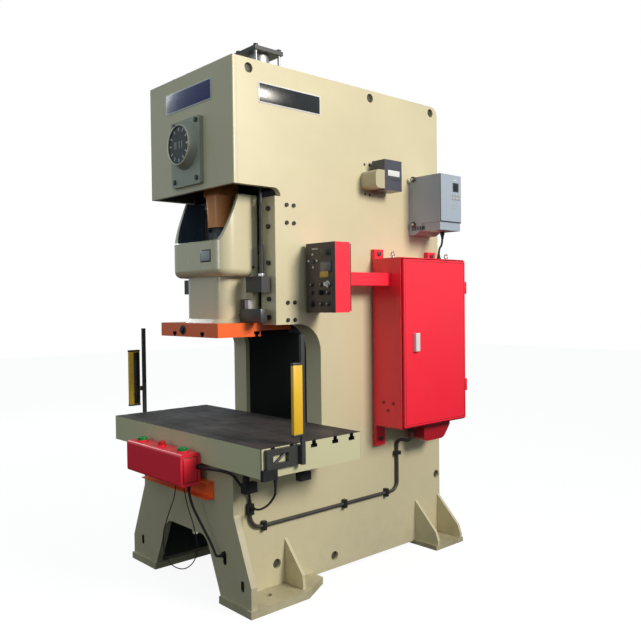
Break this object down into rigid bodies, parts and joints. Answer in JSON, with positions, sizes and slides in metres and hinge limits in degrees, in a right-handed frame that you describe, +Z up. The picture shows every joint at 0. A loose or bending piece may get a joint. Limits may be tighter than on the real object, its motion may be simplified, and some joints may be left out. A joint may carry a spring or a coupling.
{
  "type": "mechanical stamping press",
  "caption": "Open-front mechanical stamping press: C-shaped frame on feet, crank-driven slide in gibs over a T-slotted table, with control cabinet and panel.",
  "frame": {"origin": "centre of the rectangle of the four anchor bolt holes, on the floor", "axes": "+Z up, -Y towards the operator at the front, +X towards the cabinet's side"},
  "size_m": [1.71, 1.974, 3.095],
  "materials": {
    "cream_paint": "semi-gloss enamel",
    "orange_paint": "gloss enamel",
    "red_paint": "gloss enamel",
    "dark_grey_paint": "satin paint",
    "grey_paint": "satin paint",
    "yellow_paint": "satin paint",
    "bare_steel": "machined, lightly oiled",
    "dark_steel": "blackened",
    "plated_steel": "bright",
    "iron": "machined",
    "copper_paint": "red-brown primer",
    "rubber": "matt",
    "black_plastic": "matt",
    "green_plastic": "gloss",
    "red_plastic": "gloss"
  },
  "bodies": {
    "frame": {"side_plate_left": "cream_paint", "side_plate_right": "cream_paint", "throat_flanges": "cream_paint", "head_front_plate": "cream_paint", "crown_top_plate": "cream_paint", "bearing_plates": "cream_paint", "gear_case_plates": "cream_paint", "gib_plates": "cream_paint", "gibs": "iron", "gib_bolts": "dark_steel", "leg_front_plate": "cream_paint", "feet": "cream_paint", "foot_gussets": "cream_paint", "bed_plate": "cream_paint", "back_plate": "cream_paint", "table": "bare_steel", "motor": "grey_paint", "drive_belts": "rubber", "balancer_barrels": "plated_steel", "balancer_caps": "dark_grey_paint", "balancer_tie_rods": "plated_steel", "dial_housing": "cream_paint", "cabinet_shell": "red_paint", "cabinet_rails": "red_paint", "cabinet_gear": "grey_paint", "panel_box": "red_paint", "panel_arm": "red_paint", "inverter_box": "grey_paint", "cam_switch": "dark_grey_paint", "curtain_brackets": "dark_steel", "light_curtains": "yellow_paint", "station_box": "red_paint", "station_bracket": "orange_paint", "conduit": "black_plastic", "fittings": "black_plastic", "control_cord": "rubber", "table_cord": "rubber", "curtain_cord": "rubber", "inverter_cord": "rubber", "thin_cord": "black_plastic"},
    "rod": {"con_rod": "copper_paint"},
    "ram": {"slide_body": "cream_paint", "slide_plate": "orange_paint", "slide_lugs": "dark_grey_paint", "ball_screw": "dark_steel", "balancer_rods": "dark_steel"},
    "crank": {"crankshaft": "bare_steel", "main_gear": "iron", "angle_dial": "black_plastic"},
    "drive": {"drive_shaft": "bare_steel"},
    "flywheel": {"flywheel": "iron"},
    "pulley": {"motor_pulley": "iron"},
    "door": {"cabinet_door": "red_paint"},
    "handle": {"door_handle": "plated_steel"},
    "start": {"start_button": "black_plastic"},
    "selector": {"mode_selector": "black_plastic"},
    "key": {"key_switch": "plated_steel"},
    "left_palm": {"palm_button_left": "green_plastic"},
    "right_palm": {"palm_button_right": "green_plastic"},
    "stop": {"station_stop_button": "red_plastic"}
  },
  "joints": [
    {"name": "slide_stroke", "type": "slide", "parent": "frame", "child": "rod", "axis": [0, 0, 1], "range_m": [-0.18, 0]},
    {"name": "die_height_adjust", "type": "slide", "parent": "rod", "child": "ram", "axis": [0, 0, 1], "range_m": [-0.09, 0]},
    {"name": "crank_turn", "type": "hinge", "parent": "frame", "child": "crank", "pos_m": [0, -0.255, 2.575], "axis": [0, 1, 0], "range_deg": [0, 180]},
    {"name": "drive_turn", "type": "hinge", "parent": "frame", "child": "drive", "pos_m": [0, -0.255, 2.195], "axis": [0, 1, 0], "range_deg": [-830, 0]},
    {"name": "flywheel_turn", "type": "hinge", "parent": "frame", "child": "flywheel", "pos_m": [0, 0.125, 2.195], "axis": [0, 1, 0], "continuous": true},
    {"name": "motor_turn", "type": "hinge", "parent": "frame", "child": "pulley", "pos_m": [0, 0.125, 1.62], "axis": [0, 1, 0], "continuous": true},
    {"name": "door_swing", "type": "hinge", "parent": "frame", "child": "door", "pos_m": [0.7085, 0.842, 1.39], "axis": [0, 0, 1], "range_deg": [0, 120]},
    {"name": "handle_turn", "type": "hinge", "parent": "door", "child": "handle", "pos_m": [0.72, 0.312, 1.398], "axis": [1, 0, 0], "range_deg": [0, 90]},
    {"name": "start_press", "type": "slide", "parent": "frame", "child": "start", "axis": [0, 1, 0], "range_m": [0, 0.004], "stiffness_N_per_m": 300},
    {"name": "mode_turn", "type": "hinge", "parent": "frame", "child": "selector", "pos_m": [0.606, -0.375, 1.71], "axis": [0, 1, 0], "range_deg": [-45, 45]},
    {"name": "key_turn", "type": "hinge", "parent": "frame", "child": "key", "pos_m": [0.661, -0.375, 1.757], "axis": [0, 1, 0], "range_deg": [0, 90]},
    {"name": "left_palm_press", "type": "slide", "parent": "frame", "child": "left_palm", "axis": [0, 0, 1], "range_m": [-0.004, 0], "stiffness_N_per_m": 1500},
    {"name": "right_palm_press", "type": "slide", "parent": "frame", "child": "right_palm", "axis": [0, 0, 1], "range_m": [-0.004, 0], "stiffness_N_per_m": 1500},
    {"name": "stop_press", "type": "slide", "parent": "frame", "child": "stop", "axis": [0, 0, 1], "range_m": [-0.004, 0], "stiffness_N_per_m": 1500}
  ],
  "couplings": [
    {"joint": "crank_turn", "follows": "slide_stroke", "rad_per_m": -17.453},
    {"joint": "drive_turn", "follows": "slide_stroke", "rad_per_m": 80.078},
    {"joint": "motor_turn", "follows": "flywheel_turn", "ratio": 4}
  ]
}
